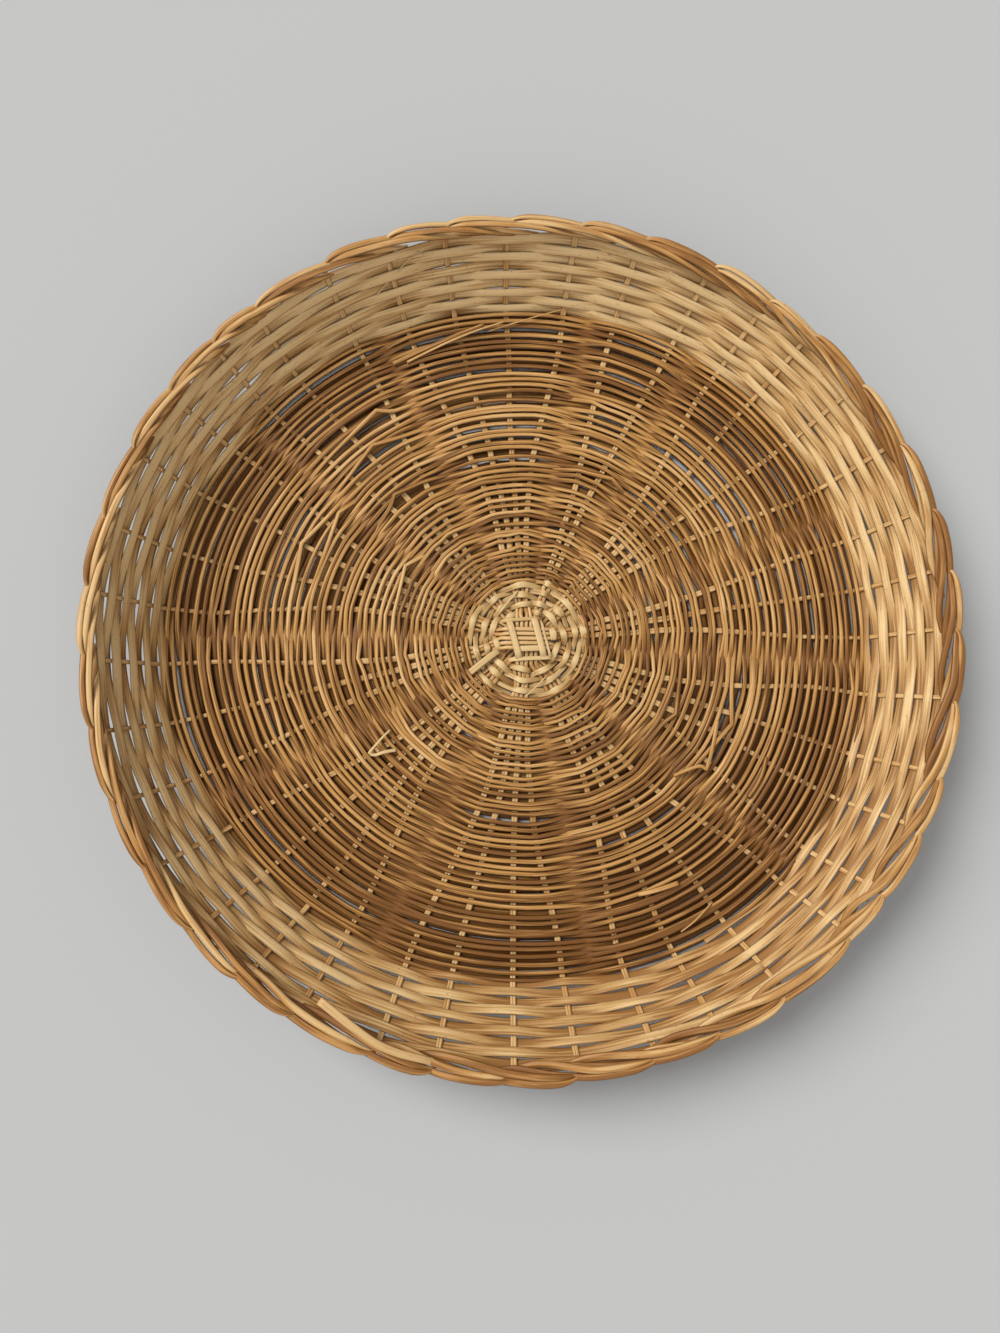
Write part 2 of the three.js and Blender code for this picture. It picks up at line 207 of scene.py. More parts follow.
def stake_end(stake, side):
    """Route, sizes and flatness of one reed of a stake's pair, from the crossing to the border tip."""
    chance = random.Random(100 + stake)
    bundle, place = bundle_place(stake)
    upwards = Vector((0, 0, 1))

    def beside(angle, opened, closing):
        """The step from the pair's middle to this reed."""
        gap = PAIR_GAP + PAIR_OPENING * opened * (1 - CLOSING_SHARE * closing * math.cos(angle) ** 2)
        return polar(side * gap * STAKE_REED, angle + math.pi / 2, 0)

    across = Matrix.Rotation(bundle * BUNDLE_STEP, 3, "Z") @ Vector((CROSS_REACH, place * ROD_PITCH, 0))
    route = [across + upwards * stake_level(stake, 0.0) + beside(bundle * BUNDLE_STEP, 0.0, 0.0)]
    sizes = [CROSS_SIZE]
    flats = [1.0]
    for radius in FLOOR_STATIONS:
        angle = floor_angle(stake, radius) + chance.gauss(0, STAKE_WANDER) / radius
        opened = eased((radius - PAIR_CLOSED) / (PAIR_OPEN - PAIR_CLOSED))
        closing = eased((radius - CLOSING_START) / CLOSING_RUN)
        route.append(polar(radius, angle, stake_level(stake, radius)) + beside(angle, opened, closing))
        parted = CLOSED_SIZE + (OPEN_SIZE - CLOSED_SIZE) * opened
        sizes.append(parted if radius > GROUP_END else GROUP_SIZE)
        flats.append(1.0 + (OPEN_FLATNESS - 1.0) * opened)
    angle = rim_angle(stake)
    foot = foot_radius(angle)
    route.append(polar(foot - FOOT_INSET, angle, STAKE_LEVEL + FOOT_LIFT) + beside(angle, 1.0, 1.0))
    sizes.append(WALL_SIZE)
    flats.append(FOOT_FLATNESS)
    for share in WALL_STATIONS:
        height = STAKE_LEVEL + WALL_RISE * share
        radius = foot + (rim_radius(angle) - foot) * share
        route.append(polar(radius, angle, height) + beside(angle, 1.0, 1.0))
        sizes.append(WALL_SIZE)
        flats.append(WALL_FLATNESS)
    swing = chance.uniform(0.85, 1.15) + side * 0.05
    lift = chance.uniform(-0.2, 0.35)
    reach = chance.uniform(0.9, 1.18)
    girth = chance.uniform(-0.2, 0.2)
    stray = [chance.gauss(0, 0.2) for _ in range(4)]
    for pitches, outward, height in OUTER_PLAIT if side > 0 else INNER_PLAIT:
        grown = eased(pitches / GROWN_AFTER)
        broad = BORDER_BREADTH * max(0.0, math.cos(rim_angle(stake - pitches) - FLATTEST_RIM))
        sizes.append(WALL_SIZE + (BORDER_GROWTH + broad + girth) * grown)
        flats.append(WALL_FLATNESS + (BORDER_FLATNESS - WALL_FLATNESS) * grown)
        angle = rim_angle(stake - pitches * (reach if pitches > 1 else 1.0))
        tucked = TUCK_DEPTH + TUCK_SWAY * math.cos(angle - FLATTEST_RIM)
        tucked *= eased((pitches - TUCK_START) / TUCK_RUN)
        sunk = TUCK_SINK * min(outward, 0.0) * tucked
        drift = grown * (stray[int(pitches)] * (1 - pitches % 1) + stray[int(pitches) + 1] * (pitches % 1))
        radius = rim_radius(angle) + (outward * (swing if outward > 0 else 1 + tucked) + drift) * 0.001
        route.append(polar(radius, angle, (height + sunk + lift * grown) * 0.001))
    return route, sizes, flats


def reed_section(name, width, thickness, corners, flatness=1.0):
    """A closed outline that reeds are drawn through: an oval, or a flat strip below a flatness of one."""
    outline = bpy.data.curves.new(name, "CURVE")
    outline.dimensions = "2D"
    ring = outline.splines.new("POLY")
    ring.points.add(corners - 1)
    for i, point in enumerate(ring.points):
        across, up = math.cos(math.tau * i / corners), math.sin(math.tau * i / corners)
        across = math.copysign(abs(across) ** flatness, across)
        up = math.copysign(abs(up) ** flatness, up)
        point.co = (width / 2 * across, thickness / 2 * up, 0, 1)
    ring.use_cyclic_u = True
    section = bpy.data.objects.new(name, outline)
    bpy.context.scene.collection.objects.link(section)
    return section


# Each reed takes its grain from another stretch of the pattern
GRAIN_STRIDE = 0.37
laid_reeds = 0


def lay_reeds(name, section, strands, twist, steps):
    """Draws reeds along their routes as one mesh, with the grain's run and each reed's tone on its points."""
    global laid_reeds
    curve = bpy.data.curves.new(name, "CURVE")
    curve.dimensions = "3D"
    curve.twist_mode = twist
    curve.bevel_mode = "OBJECT"
    curve.bevel_object = section
    curve.resolution_u = steps
    for strand in strands:
        route = numpy.array([tuple(point) for point in strand["route"]])
        gaps = numpy.linalg.norm(numpy.diff(route, axis=0), axis=1)
        before = numpy.concatenate(([gaps[0]], gaps))[:, None]
        after = numpy.concatenate((gaps, [gaps[-1]]))[:, None]
        heading = numpy.gradient(route, axis=0)
        heading /= numpy.linalg.norm(heading, axis=1)[:, None]
        spline = curve.splines.new("BEZIER")
        spline.bezier_points.add(len(route) - 1)
        arriving = route - heading * before / 3
        leaving = route + heading * after / 3
        for i in strand.get("sharp", ()):
            arriving[i] = route[i] + (route[i - 1] - route[i]) / 3
            leaving[i] = route[i] + (route[i + 1] - route[i]) / 3
        spline.bezier_points.foreach_set("co", route.ravel())
        spline.bezier_points.foreach_set("handle_left", arriving.ravel())
        spline.bezier_points.foreach_set("handle_right", leaving.ravel())
        spline.bezier_points.foreach_set("radius", strand.get("size", [1.0] * len(route)))
        spline.bezier_points.foreach_set("tilt", strand.get("tilt", [0.0] * len(route)))
    drawn = bpy.data.objects.new(name, curve)
    bpy.context.scene.collection.objects.link(drawn)
    graph = bpy.context.evaluated_depsgraph_get()
    mesh = bpy.data.meshes.new_from_object(drawn.evaluated_get(graph), depsgraph=graph)
    bpy.data.objects.remove(drawn)

    corners = numpy.array([tuple(point.co)[:2] for point in section.data.splines[0].points])
    places = numpy.empty(len(mesh.vertices) * 3, dtype=numpy.float32)
    mesh.vertices.foreach_get("co", places)
    skin = places.reshape(-1, len(corners), 3)
    rings = skin.mean(axis=1)
    grain = numpy.zeros((len(mesh.vertices), 3), dtype=numpy.float32)
    tones = numpy.zeros(len(mesh.vertices), dtype=numpy.float32)
    first = 0
    for strand in strands:
        count = (len(strand["route"]) - 1) * steps + 1
        middle = rings[first:first + count]
        run = numpy.concatenate(([0.0], numpy.cumsum(numpy.linalg.norm(numpy.diff(middle, axis=0), axis=1))))
        span = slice(first * len(corners), (first + count) * len(corners))
        grain[span, 0] = numpy.repeat(run, len(corners)) + GRAIN_STRIDE * laid_reeds
        grain[span, 1:] = numpy.tile(corners, (count, 1))
        stations = numpy.arange(len(strand["route"])) * steps
        if "flat" in strand:
            heading = numpy.gradient(middle, axis=0)
            heading /= numpy.linalg.norm(heading, axis=1)[:, None]
            upward = numpy.array((0.0, 0.0, 1.0)) - heading * heading[:, 2:]
            upward = (upward / numpy.linalg.norm(upward, axis=1)[:, None])[:, None]
            spread = skin[first:first + count] - middle[:, None]
            raised = (spread * upward).sum(axis=2)
            share = numpy.interp(numpy.arange(count), stations, strand["flat"])[:, None]
            skin[first:first + count] += upward * (raised * (share - 1))[..., None]
            grain[span, 2] = (raised / numpy.linalg.norm(spread, axis=2)).ravel() * corners[:, 1].max()
        tone = numpy.broadcast_to(strand["tone"], len(stations))
        shades = numpy.interp(numpy.arange(count), stations, tone)
        tones[span] = numpy.repeat(shades, len(corners))
        first += count
        laid_reeds += 1
    mesh.vertices.foreach_set("co", places)
    mesh.attributes.new("grain", "FLOAT_VECTOR", "POINT").data.foreach_set("vector", grain.ravel())
    mesh.attributes.new("tone", "FLOAT", "POINT").data.foreach_set("value", tones)

    shape = bmesh.new()
    shape.from_mesh(mesh)
    open_edges = [edge for edge in shape.edges if edge.is_boundary]
    bmesh.ops.holes_fill(shape, edges=open_edges, sides=len(corners))
    bmesh.ops.recalc_face_normals(shape, faces=shape.faces)
    for face in shape.faces:
        face.smooth = len(face.verts) == 4
    shape.to_mesh(mesh)
    shape.free()
    piece = bpy.data.objects.new(name, mesh)
    bpy.context.scene.collection.objects.link(piece)
    return piece


def reed_grain_group():
    """Long fibres, soft blotches and dark specks that run along a reed, between three colours, with painted
    shade on the reed's sides and underside.
    """
    group = bpy.data.node_groups.new("reed_grain", "ShaderNodeTree")
    for name, kind in (("Grain", "Vector"), ("Tone", "Float"), ("Dark", "Color"), ("Middle", "Color"),
                       ("Pale", "Color"), ("Streak", "Float"), ("Speck", "Float"), ("Half", "Float"),
                       ("Painted Shade", "Float")):
        group.interface.new_socket(name, in_out="INPUT", socket_type="NodeSocket" + kind)
    for name, kind in (("Color", "Color"), ("Roughness", "Float"), ("Height", "Float")):
        group.interface.new_socket(name, in_out="OUTPUT", socket_type="NodeSocket" + kind)
    nodes, links = group.nodes, group.links
    given = nodes.new("NodeGroupInput")
    result = nodes.new("NodeGroupOutput")

    def noise(scale, detail, seed):
        """Noise stretched along the grain."""
        stretched = nodes.new("ShaderNodeVectorMath")
        stretched.operation = "MULTIPLY_ADD"
        stretched.inputs[1].default_value = scale
        stretched.inputs[2].default_value = (seed, seed, seed)
        links.new(given.outputs["Grain"], stretched.inputs[0])
        texture = nodes.new("ShaderNodeTexNoise")
        texture.inputs["Scale"].default_value = 1.0
        texture.inputs["Detail"].default_value = detail
        links.new(stretched.outputs[0], texture.inputs["Vector"])
        return texture.outputs["Fac"]

    def math_node(operation, *values):
        node = nodes.new("ShaderNodeMath")
        node.operation = operation
        for socket, value in zip(node.inputs, values):
            if isinstance(value, (int, float)):
                socket.default_value = value
            else:
                links.new(value, socket)
        return node.outputs[0]

    def ranged(value, low, high, to_low, to_high):
        node = nodes.new("ShaderNodeMapRange")
        node.interpolation_type = "SMOOTHSTEP"
        links.new(value, node.inputs["Value"])
        for name, number in (("From Min", low), ("From Max", high), ("To Min", to_low), ("To Max", to_high)):
            node.inputs[name].default_value = number
        return node.outputs["Result"]

    def mixed(share, first, second):
        node = nodes.new("ShaderNodeMix")
        node.data_type = "RGBA"
        links.new(share, node.inputs["Factor"])
        links.new(first, node.inputs["A"])
        links.new(second, node.inputs["B"])
        return node.outputs["Result"]

    fibre = noise((55.0, 2300.0, 2300.0), 6.0, 3.0)
    blotch = noise((42.0, 240.0, 240.0), 2.0, 11.0)
    speck = noise((700.0, 2300.0, 2300.0), 1.0, 29.0)
    streaked = math_node("MULTIPLY", math_node("SUBTRACT", fibre, 0.5), given.outputs["Streak"])
    clouded = math_node("MULTIPLY", math_node("SUBTRACT", blotch, 0.5), 0.9)
    shade = math_node("ADD", math_node("ADD", given.outputs["Tone"], streaked), clouded)
    lower = mixed(ranged(shade, 0.0, 0.5, 0.0, 1.0), given.outputs["Dark"], given.outputs["Middle"])
    toned = mixed(ranged(shade, 0.45, 1.0, 0.0, 1.0), lower, given.outputs["Pale"])
    spotted = math_node("MULTIPLY", ranged(speck, 0.66, 0.76, 0.0, 1.0), given.outputs["Speck"])
    spotted = mixed(spotted, toned, given.outputs["Dark"])
    # Painted shade: the colour darkens to deep brown towards each reed's sides and underside, where shade
    # falls
    apart = nodes.new("ShaderNodeSeparateXYZ")
    links.new(given.outputs["Grain"], apart.inputs[0])
    raised = math_node("DIVIDE", apart.outputs["Z"], given.outputs["Half"])
    painted_underside_shade = math_node("MULTIPLY", ranged(raised, -0.15, 0.85, 1.0, 0.0), given.outputs["Painted Shade"])
    painted_shade_colour = nodes.new("ShaderNodeVectorMath")
    painted_shade_colour.operation = "MULTIPLY"
    painted_shade_colour.inputs[1].default_value = (0.38, 0.3, 0.2)
    links.new(given.outputs["Dark"], painted_shade_colour.inputs[0])
    links.new(mixed(painted_underside_shade, spotted, painted_shade_colour.outputs[0]), result.inputs["Color"])
    links.new(ranged(fibre, 0.3, 0.7, 0.62, 0.42), result.inputs["Roughness"])
    links.new(fibre, result.inputs["Height"])
    return group


reed_grain = reed_grain_group()


def reed_material(name, dark, middle, pale, streak, speck, bump, thickness, painted_shade):
    """A satin peeled reed in three shades of one colour."""
    material = bpy.data.materials.new(name)
    material.use_nodes = True
    nodes, links = material.node_tree.nodes, material.node_tree.links
    shader = nodes["Principled BSDF"]
    grain = nodes.new("ShaderNodeAttribute")
    grain.attribute_name = "grain"
    tone = nodes.new("ShaderNodeAttribute")
    tone.attribute_name = "tone"
    pattern = nodes.new("ShaderNodeGroup")
    pattern.node_tree = reed_grain
    links.new(grain.outputs["Vector"], pattern.inputs["Grain"])
    links.new(tone.outputs["Fac"], pattern.inputs["Tone"])
    for socket, colour in (("Dark", dark), ("Middle", middle), ("Pale", pale)):
        pattern.inputs[socket].default_value = (*colour, 1.0)
    pattern.inputs["Streak"].default_value = streak
    pattern.inputs["Speck"].default_value = speck
    pattern.inputs["Half"].default_value = thickness / 2
    # How strongly painted shade darkens the reed's sides and underside
    pattern.inputs["Painted Shade"].default_value = painted_shade
    relief = nodes.new("ShaderNodeBump")
    relief.inputs["Strength"].default_value = bump
    relief.inputs["Distance"].default_value = 0.0002
    links.new(pattern.outputs["Height"], relief.inputs["Height"])
    links.new(pattern.outputs["Color"], shader.inputs["Base Color"])
    links.new(pattern.outputs["Roughness"], shader.inputs["Roughness"])
    links.new(relief.outputs["Normal"], shader.inputs["Normal"])
    shader.inputs["Specular IOR Level"].default_value = 0.4
    return material


def finish_piece(piece, material, slot, *nodes):
    piece.data.materials.clear()
    piece.data.materials.append(material)
    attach(piece, "root")
    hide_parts(*nodes)


# Tones of a stake from the crossing out to where its pair has opened, and further out: painted shade between
# the canes and painted light a little beyond them
CENTRE_TONES_WITH_PAINTED_SHADE = (1.15, 0.8, 0.7, 0.6, 0.75, 0.95, 1.05, 1.05, 1.0)
STAKE_TONE = 0.85


def stake_tones(stake, sizes):
    """Darker between the canes as painted shade and lifted beyond them as painted light, pale over the floor
    and the wall, and browned unevenly in the border, paler towards the upper left.
    """
    border = len(OUTER_PLAIT)
    # Browned unevenly at random, and paler towards the upper left
    border_tone = stake_chance.uniform(0.05, 0.9) + 0.16 * math.cos(rim_angle(stake) - PALEST_RIM)
    tones_with_painted_shade = [*CENTRE_TONES_WITH_PAINTED_SHADE, *[STAKE_TONE] * (len(sizes) - border - len(CENTRE_TONES_WITH_PAINTED_SHADE))]
    own_tone = stake_chance.uniform(-0.3, 0.1)
    tones_with_painted_shade = [tone + own_tone for tone in tones_with_painted_shade]
    return tones_with_painted_shade + [STAKE_TONE + (border_tone - STAKE_TONE) * eased(i / 4) for i in range(border)]


stake_reed = reed_material("stake_reed", (0.28, 0.115, 0.025), (0.52, 0.26, 0.075), (0.74, 0.48, 0.21),
                           streak=2.4, speck=0.5, bump=0.4, thickness=STAKE_REED, painted_shade=0.7)
stake_outline = reed_section("stake_outline", STAKE_REED, STAKE_REED, 8)
for rod in range(4 * BUNDLE_SIZE):
    rod_bundle, rod_place = bundle_place(rod)
    opposite = (rod_bundle + 4) * BUNDLE_SIZE + BUNDLE_SIZE // 2 - rod_place
    reeds = []
    for side in (-1, 1):
        route, sizes, flats = stake_end(rod, side)
        tones = stake_tones(rod, sizes)
        if opposite < STAKE_ENDS:
            far_route, far_sizes, far_flats = stake_end(opposite, -side)
            far_tones = stake_tones(opposite, far_sizes)
        else:
            along = Matrix.Rotation(rod_bundle * BUNDLE_STEP, 3, "Z") @ Vector((2 * CROSS_REACH, 0, 0))
            far_route, far_sizes, far_flats, far_tones = [route[0] - along], sizes[:1], flats[:1], tones[:1]
        route = far_route[::-1] + route
        sizes = far_sizes[::-1] + sizes
        flats = far_flats[::-1] + flats
        for tip, taper in ((0, 0.5), (1, 0.85), (-2, 0.85), (-1, 0.5)):
            sizes[tip] *= taper
        reeds.append({"route": route, "size": sizes, "flat": flats, "tone": far_tones[::-1] + tones})
    stake = lay_reeds(f"stake_{rod + 1:02d}_reeds", stake_outline, reeds, "MINIMUM", 4)
    finish_piece(stake, stake_reed, "stake_reed", f"stake_{rod + 1:02d}")


# Centre binding
# Pale flat cane is laid round the crossing as a small square, over the top set of stakes.
# Two more lengths of it then wind on outwards, over one group of stakes and under the next.

CANE_WIDTH = 0.0019
CANE_THICKNESS = 0.0006
CANE_PITCH = 0.00165
CANE_START = 0.0084
CANE_PASSES = 68
CANE_LIFT = 0.0012
CANE_LOWEST = 0.0008
CANE_MARGIN = 0.0006
CANE_DRIFT = 0.00022
CANE_WANDER = 0.00012
# Painted highlight at the middle of an over pass, and painted shade at its ends and along the under passes
CANE_PAINTED_HIGHLIGHT = 1.1
CANE_PAINTED_SHADE = 0.4
CANE_MIDDLE_SIZE = 1.1
CANE_TURN_SIZE = 0.9

cane_chance = random.Random(23)
pale_cane = reed_material("pale_cane", (0.31, 0.15, 0.038), (0.58, 0.37, 0.145), (0.76, 0.54, 0.265),
                          streak=1.3, speck=0.35, bump=0.4, thickness=CANE_THICKNESS, painted_shade=0.95)
cane_outline = reed_section("cane_outline", CANE_WIDTH, CANE_THICKNESS, 12, 0.6)

# Bars of the square in millimetres: start, end, level of the middle, width share
BINDER_BARS = (
    ((-5.2, 4.6), (-2.6, -5.4), 5.0, 1.1),
    ((2.5, 5.4), (5.0, -4.7), 5.05, 1.1),
    ((4.6, 4.6), (7.1, -5.3), 4.8, 0.42),
    ((-6.6, 5.6), (3.6, 6.4), 3.85, 0.6),
    ((-3.8, -6.4), (7.4, -5.8), 3.85, 0.7),
    ((-2.4, -3.3), (4.6, -3.0), 4.72, 0.95),
)
# Shares of a bar's length and the drop there, in millimetres, as the bar bends down at its ends
BAR_BEND = ((-0.14, 2.4), (-0.03, 0.8), (0.08, 0.1), (0.3, 0.0), (0.5, 0.0), (0.7, 0.0), (0.92, 0.1),
            (1.03, 0.8), (1.14, 2.4))
binder_bars = []
for start, end, level, width in BINDER_BARS:
    start, end = Vector(start), Vector(end)
    bar = []
    for share, drop in BAR_BEND:
        place = start.lerp(end, share)
        bar.append(Vector((place.x, place.y, level - drop)) * 0.001)
    binder_bars.append({"route": bar, "size": [width] * len(bar), "tone": cane_chance.uniform(0.6, 0.95)})
binder = lay_reeds("centre_binder_cane", cane_outline, binder_bars, "Z_UP", 4)
finish_piece(binder, pale_cane, "pale_cane", "centre_binder")


def group_span(group, radius, margin):
    """The angles on both sides of a group of stakes at a radius."""
    first = group_starts[group]
    last = first + FLOOR_GROUPS[group] - 1
    start = floor_angle(first % STAKE_ENDS, radius) + first // STAKE_ENDS * math.tau
    end = floor_angle(last % STAKE_ENDS, radius) + last // STAKE_ENDS * math.tau
    return start - margin / radius, end + margin / radius


for cane in range(2):
    route, sizes, tones = [], [], []
    for count in range(CANE_PASSES * cane // 2, CANE_PASSES * (cane + 1) // 2 + 1):
        group = count % len(FLOOR_GROUPS)
        radius = CANE_START + CANE_PITCH * count / len(FLOOR_GROUPS) + cane_chance.gauss(0, CANE_DRIFT)
        start, end = group_span(group, radius, CANE_MARGIN)
        crossed = range(group_starts[group], group_starts[group] + FLOOR_GROUPS[group])
        levels = [stake_level(stake % STAKE_ENDS, radius) for stake in crossed]
        over = count % 2 == 0
        for share, slack in ((0.0, 0.5), (0.5, 1.0), (1.0, 0.5)):
            height = max(levels) + CANE_LIFT * slack if over else min(levels) - CANE_LIFT * slack
            wander = cane_chance.gauss(0, CANE_WANDER)
            route.append(polar(radius + wander, start + (end - start) * share, max(height, CANE_LOWEST)))
            size = CANE_MIDDLE_SIZE if slack == 1.0 else CANE_TURN_SIZE
            # An over pass's crest takes the painted highlight, the rest takes painted shade
            tone = CANE_PAINTED_HIGHLIGHT if over and slack == 1.0 else CANE_PAINTED_SHADE
            sizes.append(size + cane_chance.gauss(0, 0.08))
            tones.append(tone + cane_chance.gauss(0, 0.16))
    strand = {"route": route, "size": sizes, "tone": tones}
    chased = lay_reeds(f"centre_cane_{cane + 1:02d}_strip", cane_outline, [strand], "Z_UP", 4)
    finish_piece(chased, pale_cane, "pale_cane", f"centre_cane_{cane + 1:02d}")


# Floor weave
# One thin golden brown reed after another winds out in a spiral, over one group of stakes and under the
# next. The groups are odd in number, so each round lies opposite to the last, and the places where the
# reeds change sides make solid brown rays.

FINE_REED = 0.00143
FINE_THICKNESS = 0.00095
FINE_START = 0.0184
FINE_MARGIN = 0.0001
FINE_PASSES = 978
FINE_ROUNDS = FINE_PASSES / len(FLOOR_GROUPS)
FINE_LENGTHS = 8
FINE_WIDENING = 1.1
FINE_LIFT = 0.00098
FINE_END_LIFT = 0.82
FINE_LOWEST = FINE_THICKNESS * 0.7
FINE_TURN = 0.0011
FINE_WANDER = 0.00008
FINE_KINKS = 0.05
CENTRE_KINKS = 0.25
ROW_DRIFT = 0.00034
DRIFT_KEPT = 0.55
OPENINGS = 70
OPENED_BY = 0.00045
OPENED_ROWS = 6
UNDER_SIZE = 1.45
UNDER_FLATNESS = 0.7
# Painted shade on the under passes, where the over passes shade them
FINE_UNDER_PAINTED_SHADE = -0.45
FINE_TONE = 0.43
FINE_TONE_RANGE = 0.42

# Corners of reeds that sprang out of the weave: radius in millimetres and angle in degrees
SPRUNG_CORNERS = (
    (86.3, 123.2), (77.7, 128.4), (61.1, 132.4), (70.2, 146.2), (43.8, 149.1), (75.4, 157.2), (51.5, 333.2),
    (68.5, 337.5), (47.0, 20.0), (58.0, 62.0),
)
SPRUNG_BY = 0.0022
SPRUNG_LIFT = 0.0010

fine_chance = random.Random(37)
fine_reed = reed_material("fine_reed", (0.20, 0.078, 0.013), (0.55, 0.28, 0.075), (0.78, 0.485, 0.21),
                          streak=2.0, speck=0.45, bump=0.45, thickness=FINE_THICKNESS, painted_shade=0.95)
fine_outline = reed_section("fine_outline", FINE_REED, FINE_THICKNESS, 8)

row_drift = [[0.0] * len(FLOOR_GROUPS)]
for _ in range(math.ceil(FINE_ROUNDS) + 1):
    row_drift.append([DRIFT_KEPT * drift + fine_chance.gauss(0, ROW_DRIFT) for drift in row_drift[-1]])
for _ in range(OPENINGS):
    opened_row = fine_chance.randrange(3, len(row_drift) - 4)
    opened_group = fine_chance.randrange(len(FLOOR_GROUPS))
    opened_by = OPENED_BY * fine_chance.uniform(0.3, 2.0)
    for row in range(max(opened_row - OPENED_ROWS, 0), min(opened_row + OPENED_ROWS + 1, len(row_drift))):
        away = row - opened_row
        pushed = math.copysign(opened_by, away) if away else 0.0
        row_drift[row][opened_group] += pushed * math.exp(-abs(away) / 2.5)


def fine_span(angle):
    """The width of the fine weave in one direction, from its first round to the floor's edge there."""
    return foot_radius(angle) - FINE_MARGIN - FINE_START


def fine_radius(angle):
    """The radius of the spiral after it has turned through an angle, with closer rounds near the centre."""
    share = max(angle, 0.0) / math.tau / FINE_ROUNDS
    return FINE_START + fine_span(angle) * share ** FINE_WIDENING


sprung = {}
for corner_radius, corner_angle in SPRUNG_CORNERS:
    corner = (corner_radius * 0.001, math.radians(corner_angle))
    passed = corner[1] / STAKE_STEP + AXIS_STAKE + 0.5
    group = max(i for i, start in enumerate(group_starts) if start <= passed)
    reach = (corner[0] - SPRUNG_BY - FINE_START) / fine_span(corner[1])
    rounds = math.floor(FINE_ROUNDS * reach ** (1 / FINE_WIDENING) - corner[1] / math.tau)
    number = rounds * len(FLOOR_GROUPS) + group
    sprung[number + number % 2 * len(FLOOR_GROUPS)] = corner


def floor_tone_shift(radius, angle):
    """Browner at the edge of the floor, beside the centre, and towards the front and the right."""
    edge = 0.15 * eased((radius - 0.07) / 0.03)
    inner = 0.14 * (1 - eased((radius - 0.02) / 0.02))
    front = 0.28 * max(0.0, -math.sin(angle)) * eased((radius - 0.035) / 0.04)
    right = 0.04 * math.cos(angle)
    return -edge - inner - front - right


def fine_pass(number):
    """Stations of a pass over or under a group: place, size, flatness, tone, and whether it is cracked."""
    rounds, group = divmod(number, len(FLOOR_GROUPS))
    turned = rounds * math.tau
    second_stake = group_starts[group] + 1 - AXIS_STAKE
    start, end = group_span(group, fine_radius(second_stake * STAKE_STEP + turned), FINE_TURN)
    over = number % 2 == 0
    near = 1 - eased((fine_radius(start + turned) - 0.025) / 0.03)
    kinked = fine_chance.random() < FINE_KINKS + (CENTRE_KINKS - FINE_KINKS) * near
    cracked = fine_chance.choice((0, 3, 3, 1)) if kinked else None
    corner = sprung.get(number)
    if corner:
        cracked = round(3 * min(max((corner[1] - start) / (end - start), 0.0), 1.0))
    stations = []
    for i in range(4):
        angle = start + (end - start) * i / 3
        radius = fine_radius(angle + turned)
        stiff = 0.6 * (1 - eased((radius - 0.02) / 0.04))
        chord = math.cos((end - start) / 2) / math.cos((end - start) * (i / 3 - 0.5))
        # An under pass takes painted shade
        tone = floor_tone_shift(radius, angle) + (0.0 if over else FINE_UNDER_PAINTED_SHADE)
        drift = row_drift[rounds][group] + fine_chance.gauss(0, FINE_WANDER)
        radius = radius * (1 - stiff * (1 - chord)) + drift
        bowed = FINE_LIFT * (FINE_END_LIFT if i in (0, 3) else 1.0)
        height = STAKE_LEVEL + (bowed if over else -bowed) + fine_chance.gauss(0, 0.00005)
        if i == cracked and corner:
            radius, angle = corner
            height += SPRUNG_LIFT
        elif i == cracked:
            radius += fine_chance.uniform(-0.0003, 0.0012)
        place = polar(radius, angle, max(height, FINE_LOWEST))
        thinned = 1 - 0.16 * (1 - eased((radius - 0.025) / 0.035))
        size, flat = (thinned, 1.0) if over else (UNDER_SIZE, UNDER_FLATNESS)
        stations.append((place, size, flat, tone, i == cracked))
    for i in (1, 2):
        # A sprung reed runs straight from its corner to both ends of the pass
        if corner and i != cracked:
            tip = 0 if i < cracked else 3
            straight = stations[tip][0].lerp(stations[cracked][0], (i - tip) / (cracked - tip))
            stations[i] = (straight, *stations[i][1:])
    return stations


for length in range(FINE_LENGTHS):
    opening = FINE_PASSES * length // FINE_LENGTHS
    closing = FINE_PASSES * (length + 1) // FINE_LENGTHS
    strands = []
    run_start = opening
    while run_start < closing:
        run_end = min(run_start + 2 * fine_chance.randint(5, 12) + (run_start + 1) % 2, closing)
        stations = [station for number in range(run_start, run_end + 1) for station in fine_pass(number)]
        girth = 1 + fine_chance.gauss(0, 0.04)
        own_tone = FINE_TONE + FINE_TONE_RANGE * fine_chance.triangular(-1, 1)
        strands.append({
            "route": [place for place, _, _, _, _ in stations],
            "size": [girth * size for _, size, _, _, _ in stations],
            "flat": [flat for _, _, flat, _, _ in stations],
            "tone": [own_tone + tone for _, _, _, tone, _ in stations],
            "sharp": [i for i, station in enumerate(stations) if station[4] and 0 < i < len(stations) - 1],
        })
        run_start = run_end
    floor_reed = lay_reeds(f"fine_reed_{length + 1:02d}_rounds", fine_outline, strands, "Z_UP", 3)
    finish_piece(floor_reed, fine_reed, "fine_reed", f"fine_reed_{length + 1:02d}")


# Wall weave
# Wide flat pale reed goes over one stake and under the next, and climbs the flared wall in nine rounds.
# It is worked in three lengths, and each length's cut end is tucked behind a stake.

WIDE_WIDTH = 0.0027
WIDE_THICKNESS = 0.0007
WIDE_START = 0.0007
WIDE_MARGIN = 0.0002
WIDE_ROUNDS = 9
WIDE_FIRST_STAKE = -4
WIDE_CREEP = 0.25
WIDE_STEP_START = 0.9
WIDE_TONE = 0.6
# Painted shade on the passes that go behind the stakes
WIDE_UNDER_PAINTED_SHADE = -0.62
WIDE_UNDER_SIZE = 1.18
WIDE_USUAL_PITCH = 0.0026
WIDE_WANDER = 0.00014
WIDE_LIFT = 0.00074

